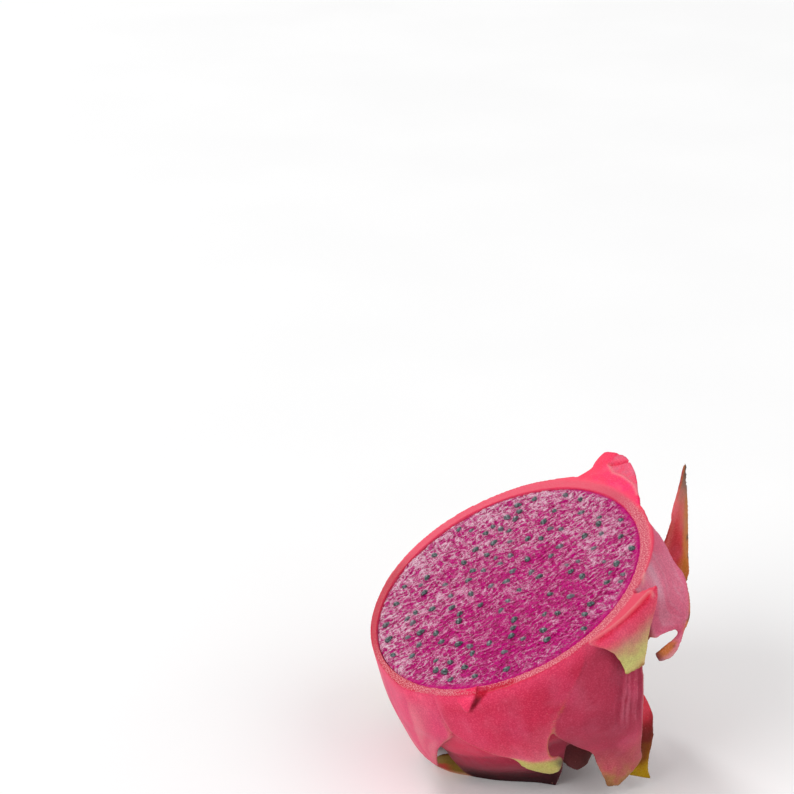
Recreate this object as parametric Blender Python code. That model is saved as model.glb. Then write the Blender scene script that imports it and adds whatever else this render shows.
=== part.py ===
"""Half of a red-fleshed dragon fruit as a knife left it: the crown half, standing on its crown end with the cut face
leaning up to one side. The rind with its bracts is one body, and the flesh with its seeds is the other.

The fruit's own frame has its origin at the middle of the cut face, with +Z out of the face and +X toward the side of
the rim that stands highest. A place on the body is (angle, radius, height): degrees and millimetres round the body's
middle line, which drifts sideways because the knife went through at a slant, and millimetres above the cut face.
The world has the table at z = 0 and its origin at the middle of the flat spot under the crown.
"""

import math
import random
from collections import namedtuple

import bmesh
import bpy
from mathutils import Matrix, Vector

MM = 0.001

# How the half stands
LEAN = math.radians(27.0)
LEAN_HEADING = math.radians(200.3)
ANGLE_ZERO = math.radians(172.3)
FACE_CENTRE = (-16.0, -9.3, 62.0)

# The body, in millimetres
RIM_RADIUS = 46.9
BODY_DEPTH = 55.0
DRIFT = 0.2
RIM_SHIFT_X = 0.3
RIM_SHIFT_Y = 1.5
NECK_RADIUS = 10.5
NECK_DEPTH = 74.0
NECK_FLARE = 6.0
NECK_TOP = 50.0
NECK_FLARE_DEPTH = 9.0
BODY_SEGMENTS = 56
BODY_RINGS = (3.0, -2.3, -7.3, -12.7, -18.3, -24.3, -30.3, -35.7, -40.7, -45.3, -49.3, -51.7, -53.7, -56.3, -60.3)

# The flesh, in millimetres
FLESH_RADIUS = 43.0
FLESH_DEPTH = 50.5
FLESH_GAP = 0.3
FLESH_DIP = 0.4
FLESH_SEGMENTS = 48
FLESH_RINGS = (-4.0, -11.0, -18.0, -25.0, -32.0, -39.0, -45.0, -49.0)
CAVITY_TOP = 2.0

SHARP_ANGLE = math.radians(38.0)

# The seeds that show on the cut face, in millimetres
SEED_COUNT = 112
SEED_LENGTH = 2.3
SEED_WIDTH = 1.35
SEED_STAND = 0.35
SEED_PITCH = 4.2
SEED_REACH = 40.5
SEED_SIDES = 5
SEED_RANDOM = 11

# A bract's grid and edges, in millimetres
SPANS_ALONG = 9
SPANS_ACROSS = 6
EDGE_THICKNESS = 0.7
TIP_HALF_WIDTH = 0.6
ROOT_SINK = 1.2

# left and right are the two edges from root to tip, and both end at the tip. The middle stands proud of them by
# bulge, the blade is fused to the body up to the fraction free of its length, and thick is its middle past there.
Bract = namedtuple("Bract", "name left right bulge free thick")

# Bracts the knife went through, whose roots are cut off level with the face
CUT_BRACTS = (
    Bract(
        "front left",
        [(165, 46.3, 4), (160, 46.4, -8), (161, 45.2, -20), (173, 43, -33), (199, 41, -39.5)],
        [(222, 46.8, 4), (224, 47, -8), (224, 46.3, -16), (214, 44.8, -27), (199, 41, -39.5)],
        0.5, 0.6, 2.0,
    ),
    Bract(
        "front",
        [(219, 46.7, 4), (222, 47, -6), (226, 46.4, -15), (236, 44.8, -24), (247, 43.5, -31), (262, 42, -41)],
        [(284, 46.9, 4), (281, 47.2, -5), (271, 47, -14), (264, 46, -22), (260, 44.3, -30), (262, 42, -41)],
        1.0, 0.55, 2.0,
    ),
    Bract(
        "front right",
        [(284, 46.5, 4), (280, 46.9, -6), (268, 46.4, -15), (264, 45, -24), (273, 41, -36), (283, 36, -51),
         (293, 27, -68)],
        [(312, 46, 4), (308, 47.5, -8), (303, 49, -22), (300, 47, -37), (301, 42, -51), (303, 36, -62),
         (293, 27, -68)],
        1.0, 0.35, 2.0,
    ),
    Bract(
        "cut flap",
        [(283, 47.5, 3), (285, 48.3, -2), (289, 50, -8), (292, 51.5, -13), (295, 52, -17.5)],
        [(316, 53.5, 3), (314, 53.5, -3), (309, 53, -9), (305, 53, -13), (300, 52.2, -19)],
        0.3, 0.35, 2.0,
    ),
    Bract(
        "right",
        [(312, 46.5, 3), (312, 49.5, -6), (308, 51.5, -12), (311, 53.5, -14), (315, 55.5, -16), (309.5, 55, -17),
         (304, 53, -18)],
        [(352, 46.5, 3), (346, 49.5, -1), (334, 55.5, -7), (323, 58.3, -12), (313, 59, -17), (307, 56.5, -19.5),
         (304, 53, -18)],
        0.8, 0.3, 1.8,
    ),
    Bract(
        "back right",
        [(20, 46, 4), (24, 48, -10), (30, 49, -24), (42, 48, -38), (52, 46, -48)],
        [(78, 46, 4), (80, 48.5, -10), (76, 49, -24), (64, 48, -38), (52, 46, -48)],
        1.0, 0.5, 2.0,
    ),
    Bract(
        "back left",
        [(84, 46.2, 4), (86, 48, -10), (92, 49, -22), (104, 48, -35), (122, 44, -47)],
        [(160, 46, 4), (160, 47.6, -10), (154, 48.6, -22), (142, 48, -35), (122, 44, -47)],
        0.6, 0.5, 2.0,
    ),
)

# Bracts rooted below the cut
LOW_BRACTS = (
    Bract(
        "shadowed front",
        [(205, 41, -20), (204, 38, -32), (203, 34, -42), (204, 29, -51), (230, 21, -68)],
        [(272, 40, -26), (270, 35, -38), (267, 29.5, -48), (262, 25.5, -56), (248, 20, -68)],
        0.5, 0.5, 2.0,
    ),
    Bract(
        "olive tip",
        [(222, 27, -46), (208, 33, -41), (196, 38, -37), (184, 39, -45)],
        [(222, 27, -58), (206, 32, -52), (194, 36, -49), (184, 39, -45)],
        0.5, 0.25, 1.6,
    ),
    Bract(
        "low right",
        [(296, 38, -30), (297, 39, -40), (300, 38, -50), (304, 36, -60), (310, 33, -74)],
        [(321, 39, -28), (318, 40.6, -41), (320, 40.6, -53), (318, 38.3, -61), (312, 34, -74)],
        1.0, 0.4, 1.8,
    ),
    Bract(
        "low back right",
        [(346, 46, -10), (346, 46.5, -24), (354, 45.5, -38), (8, 43, -51), (24, 39, -66)],
        [(42, 46, -12), (46, 46, -26), (44, 44.5, -40), (36, 42, -53), (24, 39, -66)],
        1.0, 0.45, 1.8,
    ),
    Bract(
        "low back",
        [(62, 43, -22), (64, 43.5, -35), (74, 40.5, -48), (91, 34, -62)],
        [(124, 43, -24), (120, 43.5, -37), (109, 41, -49), (93, 34, -62)],
        1.0, 0.45, 1.8,
    ),
    Bract(
        "low left",
        [(134, 42, -24), (136, 42, -34), (144, 39, -44), (158, 33, -56)],
        [(188, 41, -26), (184, 40, -36), (174, 38, -45), (160, 33, -56)],
        1.0, 0.5, 1.8,
    ),
    Bract(
        "crown front",
        [(262, 22, -44), (266, 24, -50), (272, 24, -56), (280, 21, -62)],
        [(300, 22, -44), (296, 24, -50), (290, 24, -56), (282, 21, -62)],
        0.8, 0.4, 1.6,
    ),
    Bract(
        "crown right",
        [(318, 21, -46), (321, 22, -54), (330, 22, -63), (341, 19, -74)],
        [(8, 21, -46), (4, 22, -54), (354, 22, -63), (343, 19, -75)],
        0.8, 0.4, 1.6,
    ),
    Bract(
        "crown back right",
        [(20, 21, -46), (22, 23, -54), (29, 23, -63), (42, 20, -74)],
        [(66, 21, -46), (62, 23, -54), (54, 23, -63), (44, 20, -74)],
        0.8, 0.4, 1.6,
    ),
    Bract(
        "crown back",
        [(80, 21, -46), (83, 23, -53), (91, 23, -61), (103, 20, -70)],
        [(128, 21, -46), (125, 23, -53), (117, 23, -61), (105, 20, -70)],
        0.8, 0.4, 1.6,
    ),
    Bract(
        "crown left",
        [(146, 22, -44), (148, 23, -49), (156, 23, -55), (170, 21, -62)],
        [(196, 22, -44), (194, 23, -49), (186, 23, -55), (172, 21, -62)],
        0.8, 0.4, 1.6,
    ),
)

# Bracts that stand above the level of the cut, joined on after it
HIGH_BRACTS = (
    Bract(
        "lobe",
        [(354, 45, -1), (6, 48.5, -0.6), (15, 53, 0.1), (22, 56, 0.8), (28, 58.6, 0.6), (33, 60, -0.3)],
        [(46, 45, -1), (40, 47.5, -0.6), (37, 51, 0.1), (37, 55, 0.8), (36.5, 58.4, 0.6), (35, 60, -0.3)],
        0.0, -1.0, 3.2,
    ),
    Bract(
        "spike",
        [(6, 43, -30), (0, 54, -21), (357, 59.5, -12.7), (355, 60.8, -5), (354, 61.6, 3), (352, 61.9, 11.2)],
        [(350, 43, -24), (347, 50, -8), (347, 54, -1), (348, 57.3, 5), (351, 60.5, 9.5), (352, 61.9, 11.2)],
        0.5, 0.25, 1.8,
    ),
)


def clear_scene():
    for obj in list(bpy.data.objects):
        bpy.data.objects.remove(obj)


def new_collection(name):
    collection = bpy.data.collections.new(name)
    bpy.context.scene.collection.children.link(collection)
    return collection


def fruit_to_world():
    """From the fruit's frame in millimetres to the world in metres."""
    turn = Matrix.Rotation(LEAN_HEADING, 4, "Z") @ Matrix.Rotation(LEAN, 4, "Y") @ Matrix.Rotation(ANGLE_ZERO, 4, "Z")
    return Matrix.Scale(MM, 4) @ Matrix.Translation(FACE_CENTRE) @ turn


def place(angle, radius, height):
    turn = math.radians(angle)
    x = RIM_SHIFT_X + DRIFT * height + radius * math.cos(turn)
    y = RIM_SHIFT_Y + radius * math.sin(turn)
    return Vector((x, y, height))


def spheroid(height, radius, depth):
    """The radius of a half spheroid at a height below its rim."""
    share = min(1.0, max(0.0, -height) / depth)
    return radius * math.sqrt(1.0 - share * share)


def body_radius(height):
    share = min(1.0, max(0.0, (-height - NECK_TOP) / NECK_FLARE_DEPTH))
    neck = NECK_RADIUS + NECK_FLARE * (1.0 - share) ** 2
    return max(spheroid(height, RIM_RADIUS, BODY_DEPTH), neck)


def mesh_object(name, verts, faces, collection, material):
    """A closed body in the world from places in the fruit's frame, with its faces turned outward."""
    mesh = bpy.data.meshes.new(name)
    mesh.from_pydata([tuple(vert) for vert in verts], [], faces)
    work = bmesh.new()
    work.from_mesh(mesh)
    bmesh.ops.recalc_face_normals(work, faces=work.faces)
    bmesh.ops.triangulate(work, faces=work.faces)
    if work.calc_volume(signed=True) < 0.0:
        bmesh.ops.reverse_faces(work, faces=work.faces)
    work.to_mesh(mesh)
    work.free()
    mesh.transform(fruit_to_world())
    obj = bpy.data.objects.new(name, mesh)
    collection.objects.link(obj)
    mesh.materials.append(material)
    return obj


def principled(name, colour, roughness):
    material = bpy.data.materials.new(name)
    material.use_nodes = True
    shader = material.node_tree.nodes["Principled BSDF"]
    shader.inputs["Base Color"].default_value = (*colour, 1.0)
    shader.inputs["Roughness"].default_value = roughness
    return material


def stacked(rings, closed_last):
    """Points and faces of a solid through rings of equal length. The last ring may close on one point."""
    count = len(rings[0])
    verts = [point for ring in rings for point in ring]
    faces = [tuple(range(count))]
    for ring in range(len(rings) - 1):
        here = ring * count
        for side in range(count):
            after = (side + 1) % count
            faces.append((here + side, here + after, here + count + after, here + count + side))
    last = (len(rings) - 1) * count
    if closed_last is None:
        faces.append(tuple(range(last, last + count)))
        return verts, faces
    verts.append(closed_last)
    for side in range(count):
        faces.append((last + side, last + (side + 1) % count, len(verts) - 1))
    return verts, faces


def body_solid(collection, material):
    steps = [360.0 * side / BODY_SEGMENTS for side in range(BODY_SEGMENTS)]
    heights = BODY_RINGS + (-NECK_DEPTH,)
    rings = [[place(angle, body_radius(height), height) for angle in steps] for height in heights]
    verts, faces = stacked(rings, None)
    return mesh_object("body", verts, faces, collection, material)


def flesh_rings(grow, top):
    """Rings of the flesh from its face down, grown outward on every side but the face."""
    steps = [math.tau * side / FLESH_SEGMENTS for side in range(FLESH_SEGMENTS)]
    rings = []
    for height in (top,) + FLESH_RINGS:
        radius = spheroid(height, FLESH_RADIUS, FLESH_DEPTH) + grow
        rings.append([Vector((DRIFT * height + radius * math.cos(a), radius * math.sin(a), height)) for a in steps])
    return rings


def flesh_solid(name, grow, top, collection, material):
    rings = flesh_rings(grow, top)
    foot = Vector((-DRIFT * FLESH_DEPTH, 0.0, -FLESH_DEPTH - grow))
    verts, faces = stacked(rings, foot)
    return mesh_object(name, verts, faces, collection, material)


def along(rail, share):
    """The place at a share of a rail's length, by a curve through its points."""
    spans = len(rail) - 1
    position = share * spans
    span = min(int(position), spans - 1)
    t = position - span
    before = rail[max(span - 1, 0)]
    start = rail[span]
    end = rail[span + 1]
    after = rail[min(span + 2, spans)]
    return tuple(curve(t, *values) for values in zip(before, start, end, after))


def curve(t, before, start, end, after):
    first = (end - before) / 2.0
    last = (after - start) / 2.0
    change = end - start
    return start + t * (first + t * (3.0 * change - 2.0 * first - last + t * (first + last - 2.0 * change)))


def blended(start, end, share):
    return tuple(a + (b - a) * share for a, b in zip(start, end))


def unwrapped(rail):
    """The rail with its angles made continuous, so that a bract may lie across angle 0."""
    first = rail[0][0]
    points = []
    for angle, radius, height in rail:
        angle = first + (angle - first + 180.0) % 360.0 - 180.0
        points.append((angle, radius, height))
        first = angle
    return points


def bract_rails(bract):
    left = unwrapped(bract.left)
    right = unwrapped(bract.right)
    gap = right[0][0] - left[0][0]
    turn = ((gap + 180.0) % 360.0 - 180.0) - gap
    return left, [(angle + turn, radius, height) for angle, radius, height in right]


def bract_place(bract, rails, share, across):
    """A place on the outer side: across runs from -1 at the left edge to 1 at the right."""
    left = along(rails[0], share)
    right = along(rails[1], share)
    angle, radius, height = blended(left, right, (across + 1.0) / 2.0)
    radius += bract.bulge * (1.0 - across * across) * (1.0 - share)
    return angle, radius, height


def bract_point(bract, rails, share, across):
    point = place(*bract_place(bract, rails, share, across))
    spread = max(0.0, (share - 0.9) / 0.1)
    side = place(*along(rails[1], 0.85)) - place(*along(rails[0], 0.85))
    return point + side.normalized() * across * spread * TIP_HALF_WIDTH


def bract_normal(bract, rails, share, across):
    step = 0.02
    edge = min(1.0 - step, across)
    here = bract_point(bract, rails, share, edge)
    down = bract_point(bract, rails, share + step, edge) - here
    over = bract_point(bract, rails, share, edge + step) - here
    return down.cross(over).normalized()


def bract_inner(bract, rails, share, across):
    """The inner side: sunk in the body where the bract is fused to it, and a blade's thickness in past there."""
    angle, radius, height = bract_place(bract, rails, share, across)
    outer = bract_point(bract, rails, share, across)
    middle = (1.0 - across * across) * (1.0 - share ** 3)
    thickness = EDGE_THICKNESS + (bract.thick - EDGE_THICKNESS) * middle
    if share <= bract.free:
        return place(angle, min(radius - thickness, body_radius(height) - ROOT_SINK), height)
    return outer - bract_normal(bract, rails, min(share, 0.9), across) * thickness


def bract_solid(bract, collection, material):
    rails = bract_rails(bract)
    shares = [step / SPANS_ALONG for step in range(SPANS_ALONG + 1)]
    acrosses = [2.0 * step / SPANS_ACROSS - 1.0 for step in range(SPANS_ACROSS + 1)]
    rings = []
    for share in shares:
        outer = [bract_point(bract, rails, share, across) for across in acrosses]
        inner = [bract_inner(bract, rails, share, across) for across in reversed(acrosses)]
        rings.append(outer + inner)
    verts, faces = stacked(rings, None)
    count = len(rings[0])
    faces = faces[1:-1]
    for start in (0, (len(rings) - 1) * count):
        for side in range(SPANS_ACROSS):
            other = count - 1 - side
            faces.append((start + side, start + side + 1, start + other - 1, start + other))
    return mesh_object(bract.name, verts, faces, collection, material)


def box(name, low, high, collection):
    """A cutter's block between two corners, in the frame it's given in."""
    verts = [(x, y, z) for x in (low[0], high[0]) for y in (low[1], high[1]) for z in (low[2], high[2])]
    faces = [(0, 1, 3, 2), (4, 6, 7, 5), (0, 4, 5, 1), (2, 3, 7, 6), (0, 2, 6, 4), (1, 5, 7, 3)]
    mesh = bpy.data.meshes.new(name)
    mesh.from_pydata(verts, [], faces)
    obj = bpy.data.objects.new(name, mesh)
    collection.objects.link(obj)
    return obj


def combine(obj, operation, operands):
    """Applies a Boolean with a collection, then removes the collection's objects."""
    modifier = obj.modifiers.new(operation.lower(), "BOOLEAN")
    modifier.operation = operation
    modifier.operand_type = "COLLECTION"
    modifier.collection = operands
    modifier.solver = "EXACT"
    graph = bpy.context.evaluated_depsgraph_get()
    mesh = bpy.data.meshes.new_from_object(obj.evaluated_get(graph))
    obj.modifiers.clear()
    obj.data = mesh
    for operand in list(operands.objects):
        bpy.data.objects.remove(operand)


def cutters():
    collection = new_collection("cutters")
    collection.hide_render = True
    return collection


def show_as_wire(collection):
    for obj in collection.objects:
        obj.display_type = "WIRE"
        obj.hide_render = True


def seed_places():
    """Seeds in a seeded scatter over the cut face, no two nearer than a pitch that varies from place to place."""
    source = random.Random(SEED_RANDOM)
    places = []
    while len(places) < SEED_COUNT:
        reach = SEED_REACH * math.sqrt(source.random())
        angle = math.tau * source.random()
        x = reach * math.cos(angle)
        y = reach * math.sin(angle)
        pitch = SEED_PITCH * (0.55 + 0.6 * source.random())
        turn = math.tau * source.random()
        size = 0.8 + 0.35 * source.random()
        if all(math.hypot(x - other[0], y - other[1]) > pitch for other in places):
            places.append((x, y, turn, size))
    return places


def seed_solid(index, x, y, turn, size, collection, material):
    """A low bump, wider at its foot in the flesh than at its top."""
    rings = []
    for height, share in ((-0.6, 1.15), (SEED_STAND, 0.65)):
        ring = []
        for side in range(SEED_SIDES):
            angle = math.tau * side / SEED_SIDES
            long = SEED_LENGTH / 2.0 * size * share * math.cos(angle)
            wide = SEED_WIDTH / 2.0 * size * share * math.sin(angle)
            px = x + long * math.cos(turn) - wide * math.sin(turn)
            py = y + long * math.sin(turn) + wide * math.cos(turn)
            ring.append(Vector((px, py, height - FLESH_DIP)))
        rings.append(ring)
    verts, faces = stacked(rings, None)
    return mesh_object(f"seed {index}", verts, faces, collection, material)


def build_peel(collection, helpers, material):
    peel = body_solid(collection, material)
    peel.name = "peel"
    for bract in CUT_BRACTS + LOW_BRACTS:
        bract_solid(bract, helpers, material)
    show_as_wire(helpers)
    combine(peel, "UNION", helpers)
    above = box("knife", (-90, -90, 0), (90, 90, 60), helpers)
    above.data.transform(fruit_to_world())
    flesh_solid("cavity", FLESH_GAP, CAVITY_TOP, helpers, material)
    combine(peel, "DIFFERENCE", helpers)
    for bract in HIGH_BRACTS:
        bract_solid(bract, helpers, material)
    combine(peel, "UNION", helpers)
    box("table", (-0.2, -0.2, -0.1), (0.2, 0.2, 0.0), helpers)
    combine(peel, "DIFFERENCE", helpers)
    return peel


def build_flesh(collection, helpers, material):
    flesh = flesh_solid("flesh", 0.0, -FLESH_DIP, collection, material)
    for index, seed in enumerate(seed_places()):
        seed_solid(index, *seed, helpers, material)
    combine(flesh, "UNION", helpers)
    return flesh


def shade_smooth(obj):
    obj.data.shade_smooth()
    obj.data.set_sharp_from_angle(angle=SHARP_ANGLE)


def main():
    clear_scene()
    fruit = new_collection("dragon fruit half")
    helpers = cutters()
    peel = build_peel(fruit, helpers, principled("peel", (0.58, 0.05, 0.11), 0.45))
    flesh = build_flesh(fruit, helpers, principled("flesh", (0.50, 0.01, 0.25), 0.35))
    for obj in (peel, flesh):
        shade_smooth(obj)


if __name__ == "__main__":
    main()
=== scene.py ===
"""Half a dragon fruit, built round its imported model: rind with bracts, wet flesh with its fibres, and seeds.

Shapes are worked out in the fruit's own frame, in millimetres: the origin at the middle of the cut face, +Z out
of it, +X toward the side of the rim that stands highest. A place is (angle, radius, height) round the body's
middle line, which drifts sideways because the knife went through at a slant.
"""

import math
import random
from collections import namedtuple

import bpy
import numpy as np
from mathutils import Euler, Matrix, Vector
from mathutils.kdtree import KDTree


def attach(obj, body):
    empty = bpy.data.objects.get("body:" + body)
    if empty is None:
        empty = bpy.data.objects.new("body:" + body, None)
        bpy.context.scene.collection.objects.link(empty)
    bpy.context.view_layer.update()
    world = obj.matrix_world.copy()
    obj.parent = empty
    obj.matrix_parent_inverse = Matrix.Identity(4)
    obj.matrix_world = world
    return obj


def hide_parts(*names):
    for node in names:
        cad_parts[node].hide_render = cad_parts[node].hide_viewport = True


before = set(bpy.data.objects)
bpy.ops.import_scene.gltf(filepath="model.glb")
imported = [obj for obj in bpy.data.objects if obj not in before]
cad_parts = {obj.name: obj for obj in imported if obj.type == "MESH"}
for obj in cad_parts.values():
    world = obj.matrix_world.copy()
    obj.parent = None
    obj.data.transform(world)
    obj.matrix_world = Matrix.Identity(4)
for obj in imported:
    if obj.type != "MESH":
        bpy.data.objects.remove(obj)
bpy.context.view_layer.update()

MM = 0.001

# How the half stands
LEAN = math.radians(27.0)
LEAN_HEADING = math.radians(200.3)
ANGLE_ZERO = math.radians(172.3)
FACE_CENTRE = (-16.0, -9.3, 62.0)

# The body
RIM_RADIUS = 46.9
BODY_DEPTH = 55.0
DRIFT = 0.2
RIM_SHIFT = (0.3, 1.5)
NECK_RADIUS = 10.5
NECK_DEPTH = 74.0
NECK_FLARE = 6.0
NECK_TOP = 50.0
NECK_FLARE_DEPTH = 9.0
BODY_SEGMENTS = 200
BODY_RING_PITCH = 0.8

# The flesh
FLESH_RADIUS = 43.0
FLESH_DEPTH = 50.5
FLESH_DIP = 0.25
FLESH_SIDE = 390
HOLLOW_SEGMENTS = 180

# The seeds: the same scatter as in the part
SEED_COUNT = 112
SEED_LENGTH = 2.5
SEED_WIDTH = 1.85
SEED_HEIGHT = 1.2
SEED_PITCH = 4.2
SEED_REACH = 40.5
SEED_RANDOM = 11
SINK_RANDOM = 5

# Bract grids and edges
SPANS_ALONG = 90
SPANS_ACROSS = 60
EDGE_THICKNESS = 0.95
ROOT_SINK = 1.2
FLAP_SLANT = 7.0
SHADOWED_SAG = 3.6

# How much thinner the rim is at the left and the back
RIM_DRAWN_IN = 1.45

# Marks on the cut, each a line of (x, y) places: the fold beside the cut flap, the sliver of skin by its notch,
# the lip and the crease on the lobe, and the tear along the front rim
FOLD = ((12.9, -45.4), (20.6, -44.7), (25.3, -43.3), (29.6, -41.3), (34.2, -38.4))
SLIVER = ((36.2, -28.8), (33.9, -32.4), (31.5, -35.4))
LIP = ((46.4, 28.9), (46.2, 23.6), (47.9, 19.7), (49.2, 12.3), (48.3, 7.3))
CREASE = ((46.8, 28.4), (49.4, 26.4), (52.4, 24.8))
TEAR = ((-22.4, -39.9), (-17.9, -41.4), (-14.7, -42.4), (-12.1, -43.1))

# Marks on the outer skin, as lines of (angle, height): the opening under the torn skin, and the seam left of it
OPENING = ((243.0, 0.2), (241.2, -2.0), (237.6, -5.4))
SEAM = ((223.0, 0.0), (223.6, -8.0), (225.0, -14.0), (227.0, -18.0))
RIM_ARC = math.radians(47.0)

# How much of their full strength the rind's colours have
PAINT_STRENGTH = 0.84
PAINT_BLENDS = 2

# Remeshing
JOIN_VOXEL = 0.5
SKIN_VOXEL = 0.42

# The camera, from the middle of the face
CAMERA_OFFSET = (-32.9, -503.6, 264.1)
CAMERA_TILT = math.radians(68.0)
LENS = 85.0
SENSOR_WIDTH = 36.0

# Light
WORLD_LIGHT = 0.46
KEY_LIGHT = 1.5
BACK_LIGHT = 1.0
FILL_LIGHT = 0.8

# A bract's left and right edges from root to tip. Its middle stands proud of them by bulge, it is fused to the
# body up to the fraction free of its length, and thick is its middle past there. look names its colouring.
Bract = namedtuple("Bract", "name left right bulge free thick look")

# How a bract is coloured: stops from its root (0) to its tip (1), its margin, and its inner side
Look = namedtuple("Look", "stops edge edge_share inner")


# How numbers are kept at a mesh's points, by how many there are at each
ATTRIBUTE_KINDS = {1: ("FLOAT", "value"), 3: ("FLOAT_VECTOR", "vector"), 4: ("FLOAT_COLOR", "color")}


def tone(red, green, blue):
    """A colour as on a screen, each part 0 to 255, in linear light."""
    parts = []
    for value in (red, green, blue):
        share = value / 255.0
        parts.append(share / 12.92 if share <= 0.04045 else ((share + 0.055) / 1.055) ** 2.4)
    return tuple(parts)


# Colours in linear light
SKIN = tone(222, 52, 88)
SKIN_ROSE = tone(238, 78, 120)
SKIN_DULL = tone(196, 60, 88)
SKIN_DEEP = tone(176, 30, 62)
GREEN = tone(220, 216, 130)
OLIVE = tone(168, 156, 70)
BROWN = tone(104, 72, 44)
DARK = tone(58, 46, 40)
MAROON = tone(100, 26, 34)
YELLOW = tone(204, 160, 0)
PALE = tone(216, 184, 140)
# A painted glow of light for the skin just under the rim
RIM_PAINTED_GLOW = tone(255, 74, 116)
CUT_CORAL = tone(204, 40, 76)
CUT_TOP = tone(236, 56, 92)
CUT_RED = tone(198, 14, 52)
CUT_SPECKLE = tone(222, 140, 148)
FOLD_RED = tone(240, 24, 62)
CUT_LINE = tone(244, 56, 92)
CUT_EDGE = tone(250, 172, 170)
# Painted shade for the depth of the opening under the torn flap
CREVICE_SHADE = tone(130, 10, 30)
CUT_CRIMSON = tone(206, 10, 84)
# Pale pink for veins, and for a painted highlight along the right bract's fold
VEIN_AND_HIGHLIGHT_PINK = tone(232, 178, 194)
TEAR_RED = tone(214, 0, 44)
LOBE_RED = tone(255, 52, 84)
LOBE_PINK = tone(255, 20, 104)
FLESH = tone(186, 0, 116)
FLESH_DEEP = tone(126, 0, 62)
# Pale flesh: whitish fibres with painted glints, and frayed fibres with painted sheen
FLESH_PALE = tone(210, 150, 180)
FLESH_FRAYED_AND_SHEEN = tone(222, 192, 204)
FLESH_RIM = tone(196, 4, 118)
SEED = tone(22, 28, 30)
SEED_GREY = tone(78, 96, 98)

LOOKS = {
    "pink": Look(((0.0, SKIN_ROSE), (0.85, SKIN_ROSE), (1.0, tone(222, 120, 120))), PALE, 0.35, SKIN_DEEP),
    "front": Look(((0.0, SKIN), (0.3, SKIN), (0.48, tone(228, 82, 108)), (0.64, tone(236, 118, 134)),
                   (1.0, tone(226, 150, 130))), YELLOW, 0.5, SKIN_DEEP),
    "long": Look(((0.0, SKIN_DULL), (0.6, SKIN_DULL), (0.86, tone(206, 100, 102)), (0.95, tone(190, 136, 84)),
                  (1.0, tone(150, 104, 60))), PALE, 0.45, MAROON),
    "flap": Look(((0.0, tone(250, 56, 88)), (0.4, tone(236, 92, 110)), (0.62, tone(222, 148, 128)),
                  (0.86, GREEN), (0.97, GREEN), (1.0, OLIVE)), PALE, 0.5, SKIN_DEEP),
    # The right bract's pale pink, lightest near the rim, is partly its own colour and partly painted sheen.
    "curl": Look(((0.0, tone(238, 132, 158)), (0.7, tone(232, 114, 144)), (0.9, tone(230, 160, 150)),
                  (0.97, BROWN), (1.0, DARK)), PALE, 0.5, tone(208, 132, 0)),
    "lobe": Look(((0.0, tone(255, 60, 100)), (0.4, tone(255, 34, 94)), (1.0, tone(255, 34, 116))),
                 SKIN_ROSE, 0.1, SKIN_DEEP),
    "torn": Look(((0.0, tone(255, 30, 96)), (0.5, tone(250, 48, 96)), (1.0, tone(226, 56, 94))),
                 SKIN_ROSE, 0.2, SKIN_DEEP),
    "spike": Look(((0.0, tone(206, 50, 70)), (0.35, tone(226, 60, 66)), (0.52, tone(224, 98, 82)),
                   (0.62, tone(200, 122, 98)), (0.74, tone(146, 108, 88)), (0.88, tone(88, 84, 74)),
                   (1.0, tone(56, 58, 54))),
                  tone(214, 130, 40), 0.9, SKIN_DEEP),
    # The shadowed bract darkens toward its tip: painted shade under the front bract.
    "shadow": Look(((0.0, tone(198, 46, 80)), (0.3, tone(168, 38, 66)), (0.45, tone(148, 34, 58)),
                    (0.6, tone(104, 24, 38)), (0.75, tone(58, 12, 18)), (1.0, tone(40, 8, 12))),
                   SKIN_DEEP, 0.2, MAROON),
    "olive": Look(((0.0, MAROON), (0.3, tone(126, 92, 20)), (0.8, tone(130, 108, 24)),
                   (1.0, tone(150, 110, 80))), OLIVE, 0.4, tone(126, 98, 20)),
    # The low right bract darkens to maroon at its middle: painted shade behind the long bract.
    "dark": Look(((0.0, tone(238, 44, 62)), (0.36, tone(226, 30, 52)), (0.52, tone(156, 30, 36)),
                  (0.7, tone(118, 38, 28)), (0.82, tone(140, 80, 10)), (0.92, tone(190, 152, 0)),
                  (1.0, tone(170, 140, 10))), tone(140, 110, 82), 0.8, MAROON),
    "usual": Look(((0.0, SKIN), (0.6, SKIN_DULL), (0.86, GREEN), (0.97, OLIVE), (1.0, BROWN)),
                  PALE, 0.5, SKIN_DEEP),
    # The crown bracts' dusky colours are partly their own dry brown and partly painted shade under the fruit.
    "crown": Look(((0.0, tone(124, 50, 58)), (0.5, tone(120, 58, 58)), (0.9, tone(112, 64, 58)), (1.0, BROWN)),
                  BROWN, 0.5, tone(84, 30, 32)),
}

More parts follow.
